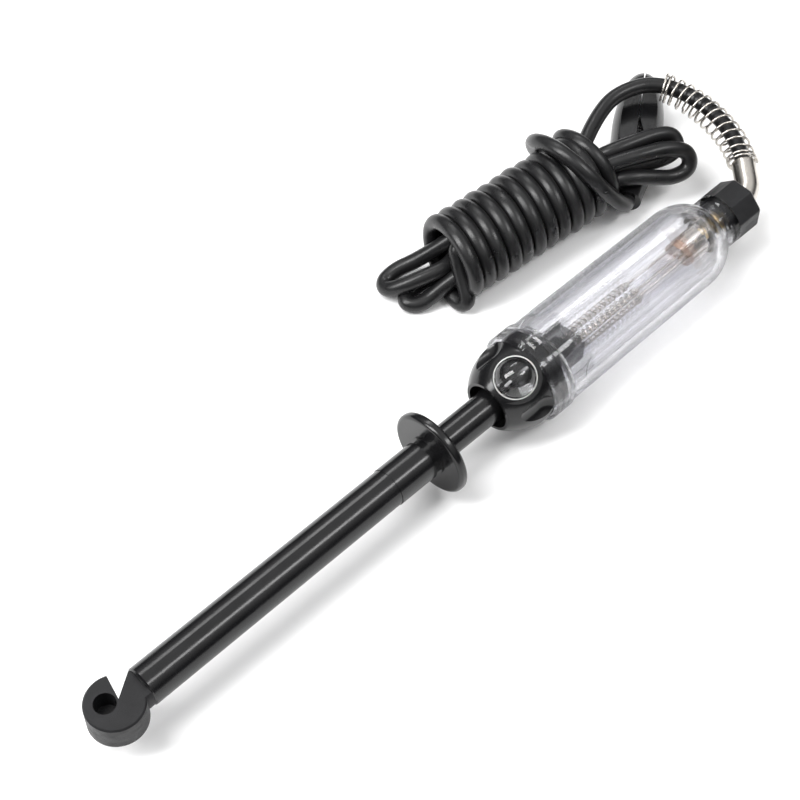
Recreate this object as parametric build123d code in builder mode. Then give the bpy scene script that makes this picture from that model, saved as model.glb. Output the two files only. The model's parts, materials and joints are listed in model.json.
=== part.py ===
"""Hook-type circuit test light: sliding hook probe, lamp handle, lead hank and earth clip.

The tool lies along X with the hook at the low end, its handle rim resting on Z = 0.
Millimetres, +Z up.  Stations along the tool are distances from the hook's front face.
"""
import os
from math import cos, radians, sin, tan

from build123d import *

os.makedirs("parts", exist_ok=True)

# ---------------------------------------------------------------- driving dimensions
tool_length = 199.5
axis_height = 11.3            # radius of the handle rim that the tool rests on
running_gap = 0.07

hook_radius = 6.5
hook_bottom = -4.6            # from the tool axis
hook_top = 2.7
notch_angle = 54.0            # middle of the V notch, from +X towards +Y
notch_opening = 42.0
pocket_radius = 2.4
shank_radius = 3.4
shank_end = 22.0

tube_start = 13.2
tube_end = 82.2
tube_radius = 4.6
tube_rear_radius = 4.5

hub_end = 92.3
hub_radius = 4.65
flange_start = 94.2
flange_end = 96.5
flange_radius = 10.3
neck_radius = 3.85
neck_end = 120.2
spring_seat = 108.0
spring_bore = 2.9
stop_ring_start = 119.0
stop_ring_radius = 4.7

needle_radius = 0.9
needle_tip = 11.9
needle_end = 138.0

nose_front = 112.8
nose_base = 123.6
nose_radius = 10.25
nose_mouth_radius = 5.6
nose_mouth_end = 116.2
nose_guide_end = 118.8
lead_room_start = 121.6
lead_room_radius = 8.4
scoop_radius = 4.2
scoop_offset = 12.4           # scoop centreline from the tool axis
scoop_end = 119.8
spigot_end = 128.5
spigot_radius = 9.6

lamp_angle = 18.0             # round the axis, from +Z towards -Y
lamp_tilt = 25.0              # leaning towards the hook
lamp_station = 118.4
lamp_offset = 8.5
lamp_radius = 5.1

rim_end = 129.6
handle_radius = 10.9
handle_rear_radius = 10.6
handle_bore = 8.9
shoulder_start = 178.0
neck_start = 187.0
clear_end = 191.8
grip_count = 6
grip_angle = 12.0             # first ridge, round the axis from +Z towards +Y
grip_depth = 0.65

carrier_ring_start = 123.9
carrier_front = 129.2
carrier_width = 8.6
carrier_height = 7.4
resistor_length = 7.5
resistor_radius = 1.1
carrier_end = 139.6
contact_pitch = 4.1
coil_radius = 1.75
coil_end = 159.7
rod_radius = 0.45
rod_end = 175.9
plate_end = 177.2
nut_end = 183.2
terminal_end = 193.7

cap_radius = 6.7
cap_sides = 8
neck_bore = 185.5
cap_spigot = 189.6
cap_spigot_radius = 5.0
cap_mouth_radius = 4.1         # room for the ferrule to start bending
cap_mouth_depth = 0.8

cord_radius = 1.95
ferrule_radius = 2.95
relief_radius = 3.85

clip_angle = 36.0             # jaws point this way, from +X towards +Y
clip_pivot = (105.5, 37.2)
clip_bottom = 0.1
clip_top = 9.3
clip_half_gap = 0.12

# ---------------------------------------------------------------- frames and helpers
hook_front = -tool_length / 2
tool_axis = Axis((0, 0, axis_height), (1, 0, 0))
profile_plane = Plane(origin=(hook_front, 0, axis_height), x_dir=(1, 0, 0), z_dir=(0, -1, 0))


def station(distance, side=0.0, up=0.0):
    """A point at a distance from the hook's front, beside and above the tool axis."""
    return Vector(hook_front + distance, side, axis_height + up)


def cross_plane(distance):
    """A plane across the tool, facing the rear, with its own x along +Y."""
    return Plane(origin=station(distance), x_dir=(0, 1, 0), z_dir=(1, 0, 0))


def turned(*outline, mode=Mode.ADD):
    """Revolve a closed outline of (station, radius) points about the tool axis."""
    with BuildSketch(profile_plane) as outline_face:
        with BuildLine():
            Polyline(*outline, close=True)
        make_face()
    revolve(outline_face.sketch, axis=tool_axis, mode=mode)


def drilled(start, end, radius):
    """Cut a round bore along the tool axis."""
    turned((start, 0), (end, 0), (end, radius), (start, radius), mode=Mode.SUBTRACT)


def radial(angle):
    """Unit vector across the tool, at an angle from +Z towards -Y."""
    return Vector(0, -sin(radians(angle)), cos(radians(angle)))


def save(builder, name):
    """Label a finished sub-part and write it."""
    builder.part.label = name
    export_step(builder.part, f"parts/{name}.step")


# ---------------------------------------------------------------- hook sleeve
hook_centre = station(hook_radius)
notch_apex = station(7.6, 0.05)
notch_reach = 14.0

with BuildPart() as hook_head:
    with BuildSketch(Plane.XY.offset(axis_height + hook_bottom)):
        with Locations((hook_centre.X, 0)):
            Circle(hook_radius)
    extrude(amount=hook_top - hook_bottom)
    chamfer(hook_head.faces().sort_by(Axis.Z)[-1].edges(), 0.35)
    chamfer(hook_head.faces().sort_by(Axis.Z)[0].edges(), 0.6)
    # neck block that carries the shank into the tube
    with BuildSketch(cross_plane(hook_radius + 2)):
        Circle(tube_radius - 0.25)
        with Locations((0, hook_top + 2)):
            Rectangle(12, 4, mode=Mode.SUBTRACT)
    extrude(amount=tube_start - hook_radius - 2)
    turned((tube_start - 0.1, 0), (shank_end, 0), (shank_end, shank_radius), (tube_start - 0.1, shank_radius))
    with BuildSketch(Plane.XY):
        with BuildLine():
            apex = Vector(notch_apex.X, notch_apex.Y)
            low_flank = radians(notch_angle - notch_opening / 2)
            high_flank = radians(notch_angle + notch_opening / 2)
            Polyline(
                apex,
                apex + Vector(cos(low_flank), sin(low_flank)) * notch_reach,
                apex + Vector(cos(high_flank), sin(high_flank)) * notch_reach,
                close=True,
            )
        make_face()
    extrude(amount=2 * axis_height, mode=Mode.SUBTRACT)
    # pocket that the needle point ends in
    with BuildSketch(Plane.XY.offset(axis_height + hook_bottom + 2.2)):
        with Locations((station(4.9).X, 1.1)):
            Circle(pocket_radius)
    extrude(amount=8, mode=Mode.SUBTRACT)
    drilled(5.5, shank_end, needle_radius + 0.35)
save(hook_head, "hook_head")

with BuildPart() as probe_tube:
    turned(
        (tube_start, shank_radius),
        (tube_end, shank_radius),
        (tube_end, tube_rear_radius),
        (tube_start + 0.3, tube_radius),
        (tube_start, tube_radius - 0.3),
    )
save(probe_tube, "probe_tube")

with BuildPart() as needle_guide:
    turned(
        (shank_end, needle_radius + running_gap),
        (shank_end + 6, needle_radius + running_gap),
        (shank_end + 6, shank_radius),
        (shank_end, shank_radius),
    )
save(needle_guide, "needle_guide")

with BuildPart() as finger_flange:
    turned(
        (tube_end - 8, needle_radius + 0.6),
        (neck_end, needle_radius + 0.6),
        (neck_end, neck_radius),
        (flange_end, neck_radius),
        (flange_end, flange_radius),
        (flange_start, flange_radius),
        (flange_start, hub_radius + 0.15),
        (flange_start - 0.4, hub_radius + 0.15),
        (flange_start - 0.4, hub_radius - 0.5),
        (hub_end, hub_radius - 0.5),
        (hub_end, hub_radius),
        (tube_end, hub_radius),
        (tube_end, shank_radius),
        (tube_end - 8, shank_radius),
    )
    flange_rims = finger_flange.edges().filter_by(GeomType.CIRCLE).filter_by(
        lambda edge: abs(edge.radius - flange_radius) < 0.01
    )
    fillet(flange_rims, 0.9)
    drilled(spring_seat, neck_end, spring_bore)
save(finger_flange, "finger_flange")

with BuildPart() as stop_ring:
    turned(
        (stop_ring_start, neck_radius),
        (neck_end, neck_radius),
        (neck_end, stop_ring_radius),
        (stop_ring_start, stop_ring_radius),
    )
save(stop_ring, "stop_ring")

with BuildPart() as return_spring:
    turned(
        (spring_seat, needle_radius + 0.6),
        (carrier_front, needle_radius + 0.6),
        (carrier_front, spring_bore - 0.3),
        (spring_seat, spring_bore - 0.3),
    )
save(return_spring, "return_spring")

# ---------------------------------------------------------------- nose and lamp
lamp_out = Vector(-sin(radians(lamp_tilt)), 0, 0) + radial(lamp_angle) * cos(radians(lamp_tilt))
lamp_back = Vector(cos(radians(lamp_tilt)), 0, 0) + radial(lamp_angle) * sin(radians(lamp_tilt))
lamp_centre = station(lamp_station) + radial(lamp_angle) * lamp_offset
lamp_plane = Plane(origin=lamp_centre, x_dir=lamp_back, z_dir=lamp_out)
lamp_base = -2.2
lamp_shelf = -0.6

with BuildPart() as nose_collar:
    with BuildSketch(profile_plane):
        with BuildLine():
            Line((nose_front, 0), (nose_front, 6.3))
            ThreePointArc((nose_front, 6.3), (116.6, 9.0), (nose_base, nose_radius))
            Polyline(
                (nose_base, nose_radius),
                (nose_base, spigot_radius),
                (spigot_end, spigot_radius),
                (spigot_end, 0),
            )
            Line((spigot_end, 0), (nose_front, 0))
        make_face()
    revolve(axis=tool_axis)
    drilled(nose_front, nose_mouth_end, nose_mouth_radius)
    with BuildSketch(lamp_plane.offset(lamp_base - 0.7)):
        Circle(lamp_radius + 0.8)
    extrude(amount=3.1)
    # the lamp's boss stops at the handle's rim
    turned(
        (nose_base, spigot_radius),
        (rim_end, spigot_radius),
        (rim_end, 1.5 * nose_radius),
        (nose_base, 1.5 * nose_radius),
        mode=Mode.SUBTRACT,
    )
    # finger scoops round the nose, leaving the lamp's place whole
    for scoop in range(1, 6):
        outward = radial(lamp_angle + 60 * scoop)
        scoop_middle = (nose_front + scoop_end) / 2 - 1
        with Locations(Location(station(scoop_middle) + outward * scoop_offset, (0, 90, 0))):
            Cylinder(scoop_radius, 2 * (scoop_end - scoop_middle), mode=Mode.SUBTRACT)
        with Locations(station(scoop_end) + outward * scoop_offset):
            Sphere(scoop_radius, mode=Mode.SUBTRACT)
    drilled(nose_front, spigot_end, neck_radius + running_gap)
    drilled(nose_guide_end, spigot_end, stop_ring_radius + 0.5)
    drilled(lead_room_start, spigot_end, lead_room_radius)
    with BuildSketch(lamp_plane.offset(lamp_base)):
        Circle(lamp_radius - 0.4)
    extrude(amount=8, mode=Mode.SUBTRACT)
    with BuildSketch(lamp_plane.offset(lamp_shelf)):
        Circle(lamp_radius)
    extrude(amount=8, mode=Mode.SUBTRACT)
save(nose_collar, "nose_collar")

dome_radius = 4.76
with BuildPart() as led_lamp:
    with Locations(lamp_centre - lamp_out * 0.26):
        Sphere(dome_radius)
    split(bisect_by=lamp_plane.offset(0.45), keep=Keep.TOP)
    with BuildSketch(lamp_plane.offset(lamp_base)):
        Circle(lamp_radius - 0.4)
    extrude(amount=lamp_shelf - lamp_base)
    with BuildSketch(lamp_plane.offset(lamp_shelf)):
        Circle(lamp_radius)
    extrude(amount=0.5 - lamp_shelf)
save(led_lamp, "led_lamp")

lead_side = Vector(1, 0, 0).cross(radial(lamp_angle))
lead_length = 4.3
lead_gap = 2.54
lead_radius = 0.3
lead_middle = station(123.85) + radial(lamp_angle) * 7.7
with BuildPart() as lamp_leads:
    for side in (-lead_gap / 2, lead_gap / 2):
        with Locations(Location(lead_middle + lead_side * side, (0, 90, 0))):
            Cylinder(lead_radius, lead_length)
save(lamp_leads, "lamp_leads")

with BuildPart() as lamp_carrier:
    turned(
        (carrier_ring_start, 5.4),
        (carrier_front, 5.4),
        (carrier_front, 0),
        (carrier_front + 1.2, 0),
        (carrier_front + 1.2, lead_room_radius),
        (carrier_ring_start, lead_room_radius),
    )
    with BuildSketch(cross_plane(carrier_front + 1.2)):
        RectangleRounded(carrier_width, carrier_height, 1.4)
    extrude(amount=carrier_end - carrier_front - 1.2)
    chamfer(lamp_carrier.faces().sort_by(Axis.X)[-1].edges(), 0.4)
    drilled(carrier_front, needle_end, needle_radius)
    with BuildSketch(cross_plane(carrier_end)):
        with Locations((contact_pitch / 2, 0)):
            Circle(resistor_radius)
    extrude(amount=-resistor_length, mode=Mode.SUBTRACT)
    # clearance for the lamp's two leads, which press into the ring
    for side in (-lead_gap / 2, lead_gap / 2):
        with Locations(Location(lead_middle + lead_side * side, (0, 90, 0))):
            Cylinder(lead_radius, lead_length, mode=Mode.SUBTRACT)
save(lamp_carrier, "lamp_carrier")

resistor_tail = 3.2
with BuildPart() as series_resistor:
    with BuildSketch(cross_plane(carrier_end - resistor_length)):
        with Locations((contact_pitch / 2, 0)):
            Circle(resistor_radius)
    extrude(amount=resistor_length - resistor_tail)
    with BuildSketch(cross_plane(carrier_end - resistor_tail)):
        with Locations((contact_pitch / 2, 0)):
            Circle(lead_radius)
    extrude(amount=resistor_tail)
save(series_resistor, "series_resistor")

with BuildPart() as probe_needle:
    turned((needle_tip, 0), (needle_end, 0), (needle_end, needle_radius), (needle_tip + 5, needle_radius))
save(probe_needle, "probe_needle")

# ---------------------------------------------------------------- clear handle and its contacts
with BuildPart() as clear_handle:
    with BuildSketch(profile_plane):
        with BuildLine():
            rings = [(nose_base, spigot_radius), (nose_base, handle_radius)]
            for ring in range(3):
                ring_start = nose_base + 2 * ring
                rings.append((ring_start + 0.35, axis_height))
                rings.append((ring_start + 1.45, axis_height))
                rings.append((ring_start + 1.8, handle_radius))
            rings.append((shoulder_start, handle_rear_radius))
            Polyline(*rings)
            ThreePointArc((shoulder_start, handle_rear_radius), (183.7, 9.2), (neck_start, 6.7))
            Polyline(
                (neck_start, 6.7),
                (189.0, 6.65),
                (189.3, 6.3),
                (189.9, 6.3),
                (190.2, 6.6),
                (clear_end, 6.6),
                (clear_end, cap_spigot_radius),
                (neck_bore, cap_spigot_radius),
            )
            ThreePointArc((neck_bore, cap_spigot_radius), (182.6, 7.5), (shoulder_start - 1, handle_bore))
            Polyline(
                (shoulder_start - 1, handle_bore),
                (rim_end + 1, handle_bore),
                (rim_end, spigot_radius),
                (nose_base, spigot_radius),
            )
        make_face()
    revolve(axis=tool_axis)
    # flats between the grip ridges, with rounded ends
    for ridge in range(grip_count):
        outward = radial(360 / grip_count * (ridge + 0.5) - grip_angle)
        flat_middle = station(156.5) + outward * (handle_radius - grip_depth)
        flat = Plane(origin=flat_middle, x_dir=(1, 0, 0), z_dir=outward)
        with BuildSketch(flat):
            SlotOverall(46, 7.2)
        extrude(amount=2, mode=Mode.SUBTRACT)
save(clear_handle, "clear_handle")

for side, name in ((1, "contact_spring_left"), (-1, "contact_spring_right")):
    with BuildPart() as contact_spring:
        with BuildSketch(cross_plane(carrier_end)):
            with Locations((side * contact_pitch / 2, 0)):
                Circle(coil_radius)
                Circle(coil_radius - 0.55, mode=Mode.SUBTRACT)
        extrude(amount=coil_end - carrier_end)
    save(contact_spring, name)

with BuildPart() as contact_rods:
    with BuildSketch(cross_plane(carrier_end)):
        with Locations((-contact_pitch / 2, 0), (contact_pitch / 2, 0)):
            Circle(rod_radius)
    extrude(amount=rod_end - carrier_end)
    with BuildSketch(cross_plane(coil_end)):
        with Locations((-contact_pitch / 2, 0), (contact_pitch / 2, 0)):
            Circle(1.2)
    extrude(amount=0.8)
save(contact_rods, "contact_rods")

with BuildPart() as contact_plate:
    with BuildSketch(cross_plane(rod_end)):
        SlotOverall(8.4, 4.2)
    extrude(amount=plate_end - rod_end)
save(contact_plate, "contact_plate")

with BuildPart() as knurled_nut:
    with BuildSketch(cross_plane(plate_end)):
        Circle(3.75)
        with PolarLocations(3.75, 16):
            Rectangle(0.8, 0.75)
    extrude(amount=nut_end - plate_end)
save(knurled_nut, "knurled_nut")

with BuildPart() as cord_terminal:
    turned((nut_end, 0), (terminal_end, 0), (terminal_end, cord_radius), (nut_end, cord_radius))
save(cord_terminal, "cord_terminal")

with BuildPart() as seal_ring:
    with BuildSketch(profile_plane):
        with Locations((neck_bore - 0.7, 4.5)):
            Circle(0.7)
    revolve(axis=tool_axis)
save(seal_ring, "seal_ring")

with BuildPart() as rear_cap:
    with BuildSketch(cross_plane(clear_end)):
        RegularPolygon(cap_radius, cap_sides, rotation=180 / cap_sides)
    extrude(amount=tool_length - clear_end)
    fillet(rear_cap.edges().filter_by(Axis.X), 0.7)
    chamfer(rear_cap.faces().sort_by(Axis.X)[-1].edges(), 0.6)
    turned((cap_spigot, 0), (clear_end, 0), (clear_end, cap_spigot_radius), (cap_spigot, cap_spigot_radius))
    drilled(cap_spigot, tool_length, cord_radius)
    drilled(tool_length - 2, tool_length, ferrule_radius)
    drilled(tool_length - cap_mouth_depth, tool_length, cap_mouth_radius)
save(rear_cap, "rear_cap")

# ---------------------------------------------------------------- lead
lead_route = [
    (94, 0, 11.3),
    (103, 0, 11.3),
    (113.6, 12.2, 13.0),
    (117, 27, 13.6),
    (113.4, 39.4, 13.9),
    (103.5, 43.8, 13.5),
    (94, 41.8, 13.2),
    (82, 36.4, 12.6),
]


def route_radii(route):
    """Arc radius at each corner: 0.45 of the shorter run over the tangent of half the turn."""
    radii = []
    for before, corner, after in zip(route, route[1:], route[2:]):
        run_in = Vector(*corner) - Vector(*before)
        run_out = Vector(*after) - Vector(*corner)
        half_turn = radians(run_in.get_angle(run_out)) / 2
        radii.append(0.45 * min(run_in.length, run_out.length) / tan(half_turn))
    return radii


def along_run(route, corner, reach):
    """The point a given distance past a corner, on its straight run."""
    start = Vector(*route[corner])
    return start + (Vector(*route[corner + 1]) - start).normalized() * reach


lead_radii = route_radii(lead_route)
print("lead radii, mm:", [round(radius, 1) for radius in lead_radii])
lead_direction = Vector(1, 0, 0)
ferrule_end = along_run(lead_route, 1, 9.2)
relief_end = along_run(lead_route, 3, 8.0)

with BuildPart() as cord_lead:
    with BuildLine() as lead_path:
        FilletPolyline(*lead_route, radius=lead_radii)
    with BuildSketch(Plane(origin=lead_route[0], z_dir=lead_direction)):
        Circle(cord_radius)
    sweep()
save(cord_lead, "cord_lead")
print("lead length, mm:", round(sum(edge.length for edge in lead_path.edges()), 1))

with BuildPart() as strain_relief_ferrule:
    with BuildLine():
        FilletPolyline(station(tool_length - 2), lead_route[1], ferrule_end, radius=lead_radii[0])
    with BuildSketch(Plane(origin=station(tool_length - 2), z_dir=lead_direction)):
        Circle(ferrule_radius)
        Circle(cord_radius, mode=Mode.SUBTRACT)
    sweep()
save(strain_relief_ferrule, "strain_relief_ferrule")

with BuildPart() as strain_relief_spring:
    with BuildLine():
        FilletPolyline(ferrule_end, lead_route[2], lead_route[3], relief_end, radius=lead_radii[1:3])
    with BuildSketch(Plane(origin=ferrule_end, z_dir=Vector(*lead_route[2]) - ferrule_end)):
        Circle(relief_radius)
        Circle(cord_radius, mode=Mode.SUBTRACT)
    sweep()
save(strain_relief_spring, "strain_relief_spring")

# ---------------------------------------------------------------- hank
barrel_middle = (59.0, 35.0, 10.0)
barrel_length = 47.0
barrel_half_width = 11.0
barrel_half_height = 9.8
barrel_turn = -5.0            # round Z, from +X towards +Y

with BuildPart() as cord_hank:
    barrel_axis = Vector(1, 0, 0).rotate(Axis.Z, barrel_turn)
    barrel_side = barrel_axis.cross(Vector(0, 0, -1))
    with BuildSketch(Plane(origin=barrel_middle, x_dir=barrel_side, z_dir=barrel_axis)):
        Ellipse(barrel_half_width, barrel_half_height)
    extrude(amount=barrel_length / 2, both=True)
    # loops that stand out of the low end, flat on the table
    with BuildSketch(Plane.XY.offset(0.15)):
        with Locations((33, 41)):
            RectangleRounded(18, 17, 6)
    extrude(amount=9.5)
    # loops that stand out of the high end, lying over the clip
    with BuildSketch(Plane.XY.offset(9.6)):
        with Locations((91.5, 25.5)):
            RectangleRounded(25, 17, 7)
    extrude(amount=7.5)
    # second layer: the last turn, over the others
    with BuildSketch(Plane.XY.offset(10)):
        with Locations((74, 34)):
            RectangleRounded(8, 17, 3)
    extrude(amount=12)
    # last strand, turning down to the clip's tail
    with BuildSketch(Plane.XY.offset(1.0)):
        with Locations((77.5, 21.5)):
            RectangleRounded(8, 13, 3)
    extrude(amount=10)
save(cord_hank, "cord_hank")

# ---------------------------------------------------------------- clip
clip_middle = (clip_bottom + clip_top) / 2
clip_direction = Vector(cos(radians(clip_angle)), sin(radians(clip_angle)))
clip_plane = Plane(origin=(*clip_pivot, 0), x_dir=clip_direction, z_dir=(0, 0, 1))
jaw_half_height = 2.4
jaw_teeth = 5
ear_thickness = 0.6
pin_radius = 0.8
jaw_tip = 16.0
tail_tip = -14.5
tail_room = (-15.8, 2.8)      # where the moving jaw's tail swings to
clip_opening = 15.0
boot_outline = [(17.5, 2.0), (16, 3.3), (11, 5.1), (4, 6.2), (-6, 6.2), (-14, 5.5), (-20, 4.2), (-25, 3.3)]
boot_reach = 7.0
cone_start = -16.4
cone_end = -25.0
tooth_pitch = 1.1


def jaw(side, ear_inset, ear_bore):
    """One pressed-steel jaw with its teeth, squeeze tail and two hinge ears."""
    with BuildSketch(clip_plane.offset(clip_middle - jaw_half_height)) as jaw_face:
        with BuildLine():
            Polyline(
                (jaw_tip, side * clip_half_gap),
                (jaw_tip, side * 1.6),
                (6, side * 4.6),
                (-3, side * 4.4),
                (tail_tip, side * 4.0),
                (tail_tip, side * 3.2),
                (-3, side * 3.4),
                (5, side * 3.4),
                (jaw_tip - jaw_teeth * tooth_pitch - 1, side * clip_half_gap),
                close=True,
            )
        make_face()
        teeth = [(jaw_tip - (tooth + 0.5) * tooth_pitch, side * clip_half_gap) for tooth in range(jaw_teeth)]
        with Locations(*teeth):
            Rectangle(0.6, 0.7, rotation=45, mode=Mode.SUBTRACT)
    extrude(jaw_face.sketch, amount=2 * jaw_half_height)
    for ear_bottom in (-jaw_half_height + ear_inset, jaw_half_height - ear_inset - ear_thickness):
        with BuildSketch(clip_plane.offset(clip_middle + ear_bottom)) as ear_face:
            Circle(1.9)
            with Locations((0, side * 2.2)):
                Rectangle(3.8, 3.6)
            Circle(ear_bore, mode=Mode.SUBTRACT)
        extrude(ear_face.sketch, amount=ear_thickness)


def cover(share, cavity):
    """One moulded cover: its share of a rounded boot with flat sides, hollow where the jaw lies."""
    boot_centre = Vector(*clip_pivot, clip_middle)
    boot_plane = Plane(origin=boot_centre, x_dir=clip_direction, z_dir=clip_direction.cross(Vector(0, 0, 1)))
    with BuildSketch(boot_plane) as boot_face:
        with BuildLine():
            Spline(*boot_outline)
            Polyline(boot_outline[-1], (cone_end, 0), (boot_outline[0][0], 0), boot_outline[0])
        make_face()
    revolve(boot_face.sketch, axis=Axis(boot_centre, clip_direction))
    with BuildSketch(clip_plane.offset(clip_bottom)) as share_face:
        with BuildLine():
            Polyline(*share, close=True)
        make_face()
    extrude(share_face.sketch, amount=clip_top - clip_bottom, mode=Mode.INTERSECT)
    with BuildSketch(clip_plane.offset(clip_middle - jaw_half_height)) as cavity_face:
        with BuildLine():
            Polyline(*cavity, close=True)
        make_face()
    extrude(cavity_face.sketch, amount=2 * jaw_half_height, mode=Mode.SUBTRACT)


with BuildPart() as clip_jaw_fixed:
    jaw(1, 0, pin_radius)
save(clip_jaw_fixed, "clip_jaw_fixed")

with BuildPart() as clip_jaw_moving:
    jaw(-1, ear_thickness + 0.2, pin_radius + running_gap)
save(clip_jaw_moving, "clip_jaw_moving")

boot_front = boot_outline[0][0] + 1
with BuildPart() as clip_cover_fixed:
    cover(
        [
            (boot_front, clip_half_gap),
            (boot_front, boot_reach),
            (cone_end - 1, boot_reach),
            (cone_end - 1, -boot_reach),
            (cone_start, -boot_reach),
            (cone_start, clip_half_gap),
        ],
        [
            (jaw_tip, 0),
            (jaw_tip, 1.6),
            (6, 4.6),
            (-3, 4.4),
            (tail_tip, 4.0),
            (tail_tip, tail_room[1]),
            tail_room,
            (tail_room[0], 0),
        ],
    )
    cone_mouth = clip_plane.from_local_coords((cone_end, 0, clip_middle))
    with BuildSketch(Plane(origin=cone_mouth, z_dir=clip_direction)):
        Circle(cord_radius)
    extrude(amount=8, mode=Mode.SUBTRACT)
save(clip_cover_fixed, "clip_cover_fixed")

with BuildPart() as clip_cover_moving:
    cover(
        [
            (boot_front, -clip_half_gap),
            (boot_front, -boot_reach),
            (tail_tip, -boot_reach),
            (tail_tip, tail_tip * tan(radians(clip_opening + 1)) - clip_half_gap),
            (0, -clip_half_gap),
        ],
        [
            (jaw_tip, 0),
            (jaw_tip, -1.6),
            (6, -4.6),
            (-3, -4.4),
            (tail_tip, -4.0),
            (tail_tip, 0),
        ],
    )
save(clip_cover_moving, "clip_cover_moving")

with BuildPart() as clip_pivot_pin:
    with BuildSketch(clip_plane.offset(clip_middle - jaw_half_height)):
        Circle(pin_radius)
    extrude(amount=2 * jaw_half_height)
save(clip_pivot_pin, "clip_pivot_pin")

with BuildPart() as clip_spring:
    with BuildSketch(clip_plane.offset(clip_middle - 0.7)):
        Circle(1.7)
        Circle(pin_radius, mode=Mode.SUBTRACT)
    extrude(amount=1.4)
save(clip_spring, "clip_spring")

tail_start = clip_plane.from_local_coords((-17.0, 0, clip_middle))
tail_length = 13.5
with BuildPart() as cord_tail:
    with BuildSketch(Plane(origin=tail_start, z_dir=clip_direction * -1)):
        Circle(cord_radius)
    extrude(amount=tail_length)
save(cord_tail, "cord_tail")
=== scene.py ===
"""Circuit test light: surfaces, cord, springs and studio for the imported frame.  Metres, +Z up."""
import json
from math import cos, pi, radians, sin

import bmesh
import bpy
from mathutils import Matrix, Vector


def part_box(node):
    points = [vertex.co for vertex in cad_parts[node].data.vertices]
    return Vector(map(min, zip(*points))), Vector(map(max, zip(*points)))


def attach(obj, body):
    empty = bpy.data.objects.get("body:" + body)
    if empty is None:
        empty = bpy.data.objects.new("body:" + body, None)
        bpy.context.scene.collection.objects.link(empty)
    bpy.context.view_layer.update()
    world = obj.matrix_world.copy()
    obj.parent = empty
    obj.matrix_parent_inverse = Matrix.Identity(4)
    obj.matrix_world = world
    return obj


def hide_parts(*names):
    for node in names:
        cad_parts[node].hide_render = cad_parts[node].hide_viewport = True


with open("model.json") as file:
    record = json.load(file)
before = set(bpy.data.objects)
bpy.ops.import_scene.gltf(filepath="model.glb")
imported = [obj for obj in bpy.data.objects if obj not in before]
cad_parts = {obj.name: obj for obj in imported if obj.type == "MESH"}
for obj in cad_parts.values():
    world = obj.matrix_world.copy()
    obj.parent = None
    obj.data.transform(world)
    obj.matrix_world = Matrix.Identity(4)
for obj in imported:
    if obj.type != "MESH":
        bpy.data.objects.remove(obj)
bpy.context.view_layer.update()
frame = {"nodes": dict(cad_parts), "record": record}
nodes = frame["nodes"]
scene = bpy.context.scene
MM = 0.001


def metres(*points):
    """Points given in millimetres, in metres."""
    return [Vector(point) * MM for point in points]


# ---------------------------------------------------------------- camera
camera_right = Vector((0.7169, -0.6972, 0.0))
camera_back = Vector((-0.4078, -0.4190, 0.8113)).normalized()
camera_up = camera_back.cross(camera_right)
camera_data = bpy.data.cameras.new("camera")
camera_data.lens = 88.6
camera_data.sensor_width = 36
camera_data.clip_start = 0.01
camera = bpy.data.objects.new("camera", camera_data)
scene.collection.objects.link(camera)
turn = Matrix((camera_right, camera_up, camera_back)).transposed()
camera.matrix_world = Matrix.Translation((-0.1781, -0.1686, 0.3666)) @ turn.to_4x4()
scene.camera = camera

# ---------------------------------------------------------------- cord
cord_diameter = 3.9 * MM
# the turns round the hank, in millimetres
wrap_pitch = 3.9
wraps = 11
points_per_turn = 14
wrap_start = (37.2, 36.9, 10.05)
wrap_half_width = 9.1
wrap_half_height = 7.9
wrap_slant = 0.3  # along the hank, for each millimetre sideways
hank_drift = 0.35  # sideways, for each turn


def hank_turns():
    """Control points of the turns round the hank, from the bottom of the first to the bottom of the last."""
    reach = 1 / (0.75 + 0.25 * cos(2 * pi / points_per_turn))
    turns = []
    for step in range(1, wraps * points_per_turn):
        turn_count = step / points_per_turn
        angle = 2 * pi * turn_count
        swell = 0.12 * sin(2.3 * turn_count) + 0.08 * sin(5.1 * turn_count + 1)
        side = (wrap_half_width + swell) * reach * sin(angle)
        rise = (wrap_half_height + swell / 2) * reach * cos(angle)
        wander = 0.1 * sin(3.7 * turn_count)
        turns.append(
            (
                wrap_start[0] + wrap_pitch * turn_count + wrap_slant * side + wander,
                wrap_start[1] - hank_drift * turn_count + side,
                wrap_start[2] - rise,
            )
        )
    return turns


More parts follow.
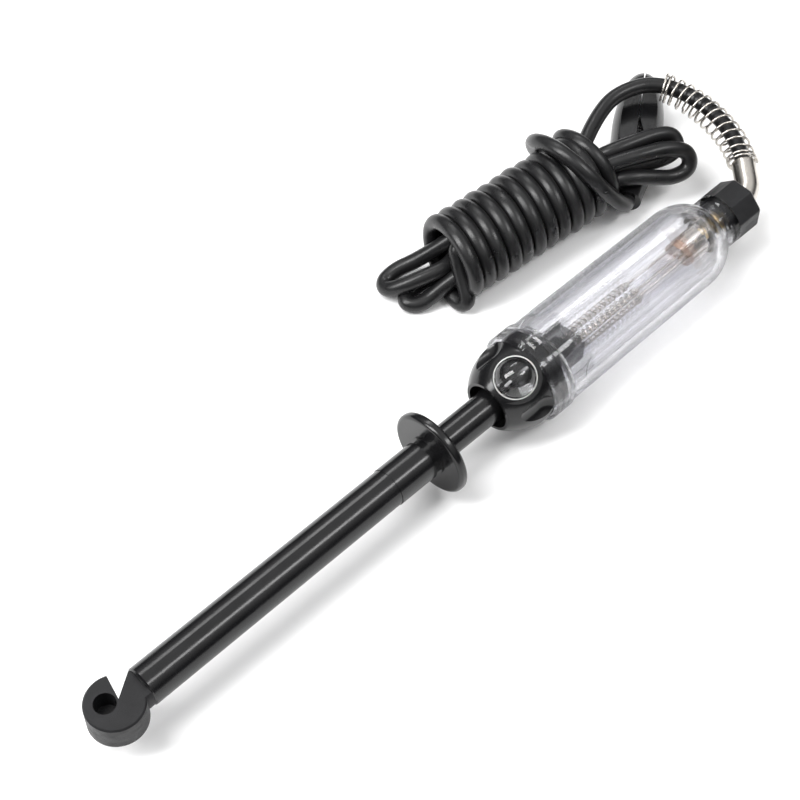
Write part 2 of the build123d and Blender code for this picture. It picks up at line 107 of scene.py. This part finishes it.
lead_route = metres(
    (94, 0, 11.3),
    (103, 0, 11.3),
    (113.6, 12.2, 13.0),
    (117, 27, 13.6),
    (113.4, 39.4, 13.9),
    (103.5, 43.8, 13.5),
    (94, 41.8, 13.2),
    (82, 36.4, 12.6),
)
hank_route = metres(
    # through the hank, and the upper loop at its low end
    (74, 35.7, 12.6),
    (48, 38.0, 12.8),
    (42.4, 39.6, 12.0),
    (38.0, 42.4, 8.2),
    (34.2, 45.2, 4.8),
    (30.4, 47.2, 3.4),
    (26.4, 47.4, 2.2),
    (24.8, 44.8, 2.6),
    (26.8, 41.6, 5.0),
    (31.0, 39.2, 6.6),
    (37.2, 36.8, 7.8),
    (41.8, 38.0, 7.6),
    # back through it, and the inner loop over the clip
    (48, 39.8, 8.6),
    (74, 37.7, 8.6),
    (79, 36.0, 9.0),
    (82.4, 33.4, 12.4),
    (86.5, 30.6, 15.2),
    (92.5, 28.2, 15.8),
    (98.4, 26.4, 15.6),
    (102.8, 24.4, 14.2),
    (102.0, 21.6, 11.6),
    (97, 22.0, 11.3),
    (91, 25.2, 11.3),
    (86, 28.4, 11.2),
    (81, 31.4, 7.8),
    # back again, and the lower loop at the low end
    (74, 32.4, 7.0),
    (61, 31.6, 7.4),
    (48, 32.2, 8.6),
    (41, 33.0, 7.6),
    (35.5, 34.4, 5.6),
    (31.4, 35.8, 2.8),
    (27.6, 36.4, 2.0),
    (25.6, 38.8, 2.0),
    (27.8, 41.2, 2.0),
    (33, 40.6, 2.8),
    (37.5, 38.4, 4.6),
    (42, 36.8, 5.6),
    # the outer loop over the clip
    (48, 36.0, 7.0),
    (61, 35.2, 9.4),
    (74, 31.4, 12.6),
    (80, 30.4, 13.0),
    (84.5, 28.2, 14.4),
    (91, 24.4, 15.6),
    (97.6, 21.4, 15.4),
    (102.4, 18.8, 12.6),
    (101.4, 16.8, 8.8),
    (96.8, 18.2, 7.8),
    (91.6, 20.8, 9.8),
    (87.0, 23.8, 11.2),
    (82.4, 27.6, 9.4),
    # the last run inside, out of the mouth and down into the first turn
    (74, 29.4, 8.8),
    (61, 31.2, 11.0),
    (48, 34.0, 12.6),
    (43.5, 35.4, 13.4),
    (39.6, 36.6, 13.2),
    (38.4, 34.2, 9.6),
    (37.2, 31.0, 6.4),
    (35.9, 28.2, 4.0),
    (34.8, 29.2, 2.0),
    (35.2, 33.6, 2.0),
    *hank_turns(),
    # over the end of the hank, round it again on top, and down to the clip
    (81.6, 35.0, 2.0),
    (84.2, 41.0, 3.2),
    (84.2, 44.4, 9.2),
    (82.0, 42.8, 15.0),
    (81.6, 37.0, 18.2),
    (81.8, 31.0, 17.0),
    (82.2, 26.6, 13.2),
    (82.8, 25.4, 8.0),
    (84.4, 28.0, 2.8),
    (85.4, 34, 2.0),
    (84.2, 42.0, 2.0),
    (80.9, 46.4, 5.0),
    (76.8, 47.0, 12.0),
    (73.8, 44.0, 18.6),
    (72.9, 37.2, 22.2),
    (73.2, 30.4, 21.6),
    (74.8, 24.6, 17.8),
    (78.2, 22.4, 12.2),
    (82.0, 20.8, 7.0),
    (85.2, 22.4, 4.9),
    (88, 24.5, 4.7),
    (91.7, 27.2, 4.7),
)


def spline_object(name, points, radius):
    """An open NURBS curve along the points, with a round section.

    The points carry the radius, because a curve's bounds reach past it by its points' radius.
    """
    data = bpy.data.curves.new(name, "CURVE")
    data.dimensions = "3D"
    data.resolution_u = 10
    data.bevel_depth = 1.0  # times each point's radius
    data.bevel_resolution = 7
    data.use_fill_caps = True
    spline = data.splines.new("NURBS")
    spline.points.add(len(points) - 1)
    for target, point in zip(spline.points, points):
        target.co = (*point, 1)
        target.radius = radius
    spline.order_u = 3
    spline.use_endpoint_u = True
    made = bpy.data.objects.new(name, data)
    scene.collection.objects.link(made)
    return made


def centreline(curve):
    """Points along a curve's own line, in order."""
    bare = curve.copy()
    bare.data = curve.data.copy()
    bare.data.bevel_depth = 0
    scene.collection.objects.link(bare)
    bpy.context.view_layer.update()
    mesh = bpy.data.meshes.new_from_object(bare.evaluated_get(bpy.context.evaluated_depsgraph_get()))
    line = [vertex.co.copy() for vertex in mesh.vertices]
    bpy.data.objects.remove(bare)
    bpy.data.meshes.remove(mesh)
    return line


cord = spline_object("cord", lead_route + hank_route, cord_diameter / 2)
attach(cord, "handle")
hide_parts("cord_lead", "cord_hank", "cord_tail")
cord_line = centreline(cord)


# ---------------------------------------------------------------- wire springs
def mesh_object(name, mesh, smooth=True):
    """A mesh as an object that rides on the handle."""
    for face in mesh.polygons:
        face.use_smooth = smooth
    made = bpy.data.objects.new(name, mesh)
    scene.collection.objects.link(made)
    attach(made, "handle")
    return made


def wire(name, line, radius, sides=8):
    """A round wire that follows the points of a line."""
    shape = bmesh.new()
    normal = (line[1] - line[0]).orthogonal().normalized()
    rings = []
    for index, point in enumerate(line):
        ahead = line[min(index + 1, len(line) - 1)] - line[max(index - 1, 0)]
        along = ahead.normalized()
        normal = (normal - along * normal.dot(along)).normalized()
        across = along.cross(normal)
        ring = []
        for side in range(sides):
            angle = 2 * pi * side / sides
            ring.append(shape.verts.new(point + (normal * cos(angle) + across * sin(angle)) * radius))
        rings.append(ring)
    for before, after in zip(rings, rings[1:]):
        for side in range(sides):
            beside = (side + 1) % sides
            shape.faces.new((before[side], before[beside], after[beside], after[side]))
    shape.faces.new(list(reversed(rings[0])))
    shape.faces.new(rings[-1])
    mesh = bpy.data.meshes.new(name)
    shape.to_mesh(mesh)
    shape.free()
    return mesh_object(name, mesh)


def resampled(line, start, end, count):
    """Evenly spaced (point, direction) pairs between two distances along a line."""
    lengths = [0.0]
    for before, after in zip(line, line[1:]):
        lengths.append(lengths[-1] + (after - before).length)
    found, segment = [], 0
    for index in range(count):
        distance = start + (end - start) * index / (count - 1)
        while lengths[segment + 1] < distance:
            segment += 1
        run = line[segment + 1] - line[segment]
        part = (distance - lengths[segment]) / (lengths[segment + 1] - lengths[segment])
        found.append((line[segment] + run * part, run.normalized()))
    return found


def coil_angles(turns, close_turns, samples):
    """Turn angle at each sample, wound close at both ends: (fraction along, angle)."""
    total = turns + 2 * close_turns
    close_part = 0.055
    for index in range(samples):
        share = index / (samples - 1) * total
        if share < close_turns:
            place = close_part * share / close_turns
        elif share > total - close_turns:
            place = 1 - close_part * (total - share) / close_turns
        else:
            place = close_part + (1 - 2 * close_part) * (share - close_turns) / turns
        yield place, 2 * pi * share


relief_radius, relief_wire, relief_sag = 3.45 * MM, 0.3 * MM, 1.15 * MM


def relief_coil():
    """The strain relief's coil: loose round the cord, sagging to the inside of its bend."""
    start, end, steps = 17.4 * MM, 49.5 * MM, 400
    path = resampled(cord_line, start, end, steps)
    inside = Vector((-0.75, -0.3, -0.45)).normalized()
    line = []
    for place, angle in coil_angles(11.5, 1.6, 900):
        point, along = path[min(int(place * (steps - 1)), steps - 1)]
        sag = inside - along * inside.dot(along)
        centre = point + sag * relief_sag * sin(pi * min(1, max(0, place))) ** 0.5
        sideways = along.cross(Vector((0, 0, 1))).normalized()
        upwards = sideways.cross(along)
        line.append(centre + (sideways * cos(angle) + upwards * sin(angle)) * relief_radius)
    return wire("relief_coil", line, relief_wire)


relief_spring = relief_coil()
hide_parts("strain_relief_spring")

axis_height = 11.3 * MM
hook_front = -99.75 * MM
contact_offset, contact_radius, contact_wire = 2.05 * MM, 1.45 * MM, 0.27 * MM
contact_coils = []
for side, node in ((1, "contact_spring_left"), (-1, "contact_spring_right")):
    low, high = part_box(node)
    coil_line = []
    for place, angle in coil_angles(11, 1.5, 760):
        centre = Vector((low[0] + (high[0] - low[0]) * place, side * contact_offset, axis_height))
        coil_line.append(centre + Vector((0, cos(angle), side * sin(angle))) * contact_radius)
    coil = wire(f"coil_{node.split('_')[-1]}", coil_line, contact_wire)
    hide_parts(node)
    contact_coils.append(coil)

# ---------------------------------------------------------------- lamp's inside
lamp_angle, lamp_tilt = radians(18), radians(25)
lamp_station, lamp_offset = 118.4 * MM, 8.5 * MM
outward = Vector((0, -sin(lamp_angle), cos(lamp_angle)))
lamp_out = Vector((-sin(lamp_tilt), 0, 0)) + outward * cos(lamp_tilt)
lamp_back = Vector((cos(lamp_tilt), 0, 0)) + outward * sin(lamp_tilt)
lamp_side = lamp_out.cross(lamp_back)
lamp_centre = Vector((hook_front + lamp_station, 0, axis_height)) + outward * lamp_offset


def in_lamp(back, side, out):
    """A place in the lamp, in millimetres from the middle of its flange."""
    return lamp_centre + (lamp_back * back + lamp_side * side + lamp_out * out) * MM


def lamp_frame():
    """The lamp's two posts, one wider than the other, which show through its dome."""
    shape = bmesh.new()

    def post(outline, thickness):
        faces = []
        for face_side in (-thickness / 2, thickness / 2):
            faces.append([shape.verts.new(in_lamp(back, face_side, out)) for back, out in outline])
        shape.faces.new(faces[0])
        shape.faces.new(list(reversed(faces[1])))
        for index in range(len(outline)):
            beside = (index + 1) % len(outline)
            shape.faces.new((faces[0][index], faces[1][index], faces[1][beside], faces[0][beside]))

    post([(-3.0, -2.0), (-0.4, -2.0), (-0.4, 0.2), (-0.9, 1.3), (-2.5, 1.3), (-3.4, 0.0)], 0.5)
    post([(0.6, -2.0), (2.0, -2.0), (2.6, -0.2), (1.3, 1.0), (0.4, 0.6)], 0.5)
    mesh = bpy.data.meshes.new("lamp_frame")
    shape.to_mesh(mesh)
    shape.free()
    return mesh_object("lamp_frame", mesh, smooth=False)


lamp_posts = lamp_frame()
# painted highlight: a thin white ring along the edge of the lamp's flange, for the light that edge catches
edge_radius, edge_height, edge_steps = 4.8, 0.5, 96
lamp_rim_highlight_line = []
for step in range(edge_steps + 1):
    angle = 2 * pi * step / edge_steps
    lamp_rim_highlight_line.append(in_lamp(edge_radius * cos(angle), edge_radius * sin(angle), edge_height))
lamp_rim_highlight = wire("lamp_rim_highlight", lamp_rim_highlight_line, 0.09 * MM)


# ---------------------------------------------------------------- materials
def material(
    name, colour, roughness, metallic=0.0, grain=4000, relief=0.00002, mottle=0.25, painted_edge_shade=None, **sockets
):
    """A moulded, drawn or plated surface: fine grain in its relief, slower mottle in colour and gloss.

    A clear one can have a dark edge colour, painted shade that it shows where it is seen edge on: it stands
    for the dark lines along the edges of clear plastic, with a little of the tint of the longer path through
    the plastic.
    """
    made = bpy.data.materials.new(name)
    made.use_nodes = True
    tree = made.node_tree
    shader = tree.nodes["Principled BSDF"]
    shader.inputs["Metallic"].default_value = metallic
    for socket, value in sockets.items():
        shader.inputs[socket.replace("_", " ")].default_value = value
    place = tree.nodes.new("ShaderNodeTexCoord")

    def noise(scale, detail, stretch=(1, 1, 1)):
        mapping = tree.nodes.new("ShaderNodeMapping")
        mapping.inputs["Scale"].default_value = stretch
        texture = tree.nodes.new("ShaderNodeTexNoise")
        texture.inputs["Scale"].default_value = scale
        texture.inputs["Detail"].default_value = detail
        tree.links.new(place.outputs["Object"], mapping.inputs["Vector"])
        tree.links.new(mapping.outputs["Vector"], texture.inputs["Vector"])
        return texture.outputs["Fac"]

    def ranged(value, low, high):
        span = tree.nodes.new("ShaderNodeMapRange")
        span.inputs["From Min"].default_value = 0.3
        span.inputs["From Max"].default_value = 0.7
        span.inputs["To Min"].default_value = low
        span.inputs["To Max"].default_value = high
        tree.links.new(value, span.inputs["Value"])
        return span.outputs["Result"]

    mix = tree.nodes.new("ShaderNodeMix")
    mix.data_type = "RGBA"
    mix.inputs["A"].default_value = (*[channel * (1 - mottle) for channel in colour], 1)
    mix.inputs["B"].default_value = (*[min(1, channel * (1 + mottle)) for channel in colour], 1)
    tree.links.new(ranged(noise(220, 4), 0, 1), mix.inputs["Factor"])
    tree.links.new(mix.outputs["Result"], shader.inputs["Base Color"])
    # painted shade: a dark colour mixed in where the surface is seen edge on, for the dark lines along clear
    # plastic's edges
    if painted_edge_shade:
        edge = tree.nodes.new("ShaderNodeLayerWeight")
        edge.inputs["Blend"].default_value = 0.5
        edge_shade_amount = tree.nodes.new("ShaderNodeMapRange")
        edge_shade_amount.interpolation_type = "SMOOTHSTEP"
        edge_shade_amount.inputs["From Min"].default_value = 0.45
        edge_shade_amount.inputs["From Max"].default_value = 0.85
        edge_shaded = tree.nodes.new("ShaderNodeMix")
        edge_shaded.data_type = "RGBA"
        edge_shaded.inputs["B"].default_value = (*painted_edge_shade, 1)
        tree.links.new(edge.outputs["Facing"], edge_shade_amount.inputs["Value"])
        tree.links.new(edge_shade_amount.outputs["Result"], edge_shaded.inputs["Factor"])
        tree.links.new(mix.outputs["Result"], edge_shaded.inputs["A"])
        tree.links.new(edge_shaded.outputs["Result"], shader.inputs["Base Color"])
    gloss = ranged(noise(600, 6, (0.35, 1, 1)), roughness * 0.8, min(1, roughness * 1.2))
    tree.links.new(gloss, shader.inputs["Roughness"])
    bump = tree.nodes.new("ShaderNodeBump")
    bump.inputs["Strength"].default_value = 1.0
    bump.inputs["Distance"].default_value = relief
    tree.links.new(noise(grain, 3), bump.inputs["Height"])
    tree.links.new(bump.outputs["Normal"], shader.inputs["Normal"])
    return made


looks = {
    "black_matte": material(
        "black_matte", (0.010, 0.010, 0.011), 0.45, grain=5000, relief=0.00003, Specular_IOR_Level=0.25
    ),
    "black_gloss": material(
        "black_gloss", (0.006, 0.006, 0.0065), 0.19, grain=900, relief=0.00001, Specular_IOR_Level=0.4
    ),
    "white_plastic": material("white_plastic", (0.8, 0.8, 0.78), 0.45, mottle=0.05),
    "steel": material("steel", (0.5, 0.5, 0.5), 0.25, metallic=1, mottle=0.1, relief=0.000006),
    "nickel": material("nickel", (0.55, 0.52, 0.48), 0.24, metallic=1, mottle=0.08, relief=0.000006),
    "brass": material("brass", (0.8, 0.6, 0.3), 0.3, metallic=1, mottle=0.1, relief=0.000006),
    "copper": material("copper", (0.24, 0.16, 0.12), 0.35, metallic=1, mottle=0.2, relief=0.00001),
    "resistor_body": material("resistor_body", (0.45, 0.36, 0.24), 0.4),
    "black_rubber": material(
        "black_rubber", (0.006, 0.006, 0.0065), 0.22, grain=2500, relief=0.00002, Specular_IOR_Level=0.35
    ),
    "cord_pvc": material(
        "cord_pvc",
        (0.009, 0.009, 0.0095),
        0.32,
        grain=1800,
        relief=0.00002,
        mottle=0.2,
        Specular_IOR_Level=0.35,
    ),
    "lamp_clear": material(
        "lamp_clear", (0.96, 0.96, 0.98), 0.02, mottle=0.02, relief=0.0, Transmission_Weight=1.0, IOR=1.5
    ),
    "clear_plastic": material(
        "clear_plastic",
        (0.93, 0.93, 0.97),
        0.008,
        grain=120,
        relief=0.000001,
        mottle=0.005,
        # painted shade, near black, where the clear plastic is seen edge on
        painted_edge_shade=(0.1, 0.1, 0.13),
        Transmission_Weight=1.0,
        IOR=1.45,
        Alpha=0.7,
    ),
}

for part in frame["record"]["subparts"]:
    shown = nodes[part["node"]]
    shown.data.materials.clear()
    shown.data.materials.append(looks[part["material_slot"]])
cord.data.materials.append(looks["cord_pvc"])
lamp_posts.data.materials.append(looks["steel"])
# the lamp's painted highlight ring is white plastic
lamp_rim_highlight.data.materials.append(looks["white_plastic"])
for coil in (relief_spring, *contact_coils):
    coil.data.materials.append(looks["nickel"])


# ---------------------------------------------------------------- floor and light
def area_light(name, place, target, size, power, along=(1, 0, 0)):
    """A soft rectangular light that faces a target; its first size runs along the direction given."""
    data = bpy.data.lights.new(name, "AREA")
    data.shape = "RECTANGLE"
    data.size, data.size_y = size
    data.energy = power
    light = bpy.data.objects.new(name, data)
    scene.collection.objects.link(light)
    back = (Vector(place) - Vector(target)).normalized()
    across = back.cross(Vector(along)).normalized()
    turn = Matrix((across.cross(back), across, back)).transposed()
    light.matrix_world = Matrix.Translation(place) @ turn.to_4x4()


floor_mesh = bpy.data.meshes.new("floor")
floor_half = 3.0
floor_corners = [(x * floor_half, y * floor_half, 0) for x, y in ((-1, -1), (1, -1), (1, 1), (-1, 1))]
floor_mesh.from_pydata(floor_corners, [], [(0, 1, 2, 3)])
floor = bpy.data.objects.new("floor", floor_mesh)
scene.collection.objects.link(floor)
floor_mesh.materials.append(
    material("floor_paper", (0.93, 0.93, 0.93), 0.8, grain=700, relief=0.00001, mottle=0.01)
)

scene.world = scene.world or bpy.data.worlds.new("studio")
scene.world.use_nodes = True
studio = scene.world.node_tree
studio.nodes["Background"].inputs["Strength"].default_value = 1.0
# the studio's walls are dark and its ceiling white
direction = studio.nodes.new("ShaderNodeTexCoord")
height = studio.nodes.new("ShaderNodeSeparateXYZ")
wall_to_ceiling = studio.nodes.new("ShaderNodeValToRGB")
wall_to_ceiling.color_ramp.elements[0].position = 0.3
wall_to_ceiling.color_ramp.elements[0].color = (0.05, 0.05, 0.055, 1)
wall_to_ceiling.color_ramp.elements[1].position = 0.75
wall_to_ceiling.color_ramp.elements[1].color = (1, 1, 1, 1)
studio.links.new(direction.outputs["Generated"], height.inputs["Vector"])
studio.links.new(height.outputs["Z"], wall_to_ceiling.inputs["Fac"])
studio.links.new(wall_to_ceiling.outputs["Color"], studio.nodes["Background"].inputs["Color"])
scene.view_settings.view_transform = "Standard"
middle = (0.0, 0.01, 0.01)
area_light("key", (-0.5, 0.3, 0.75), middle, (0.3, 0.9), 11.5, along=(0.5, 0.86, 0))
area_light("strip_above", (0.31, -0.38, 0.7), middle, (0.5, 0.14), 2.4)
area_light("strip_behind", (0.3, 0.47, 0.6), middle, (0.5, 0.1), 1.0)

bpy.context.view_layer.update()
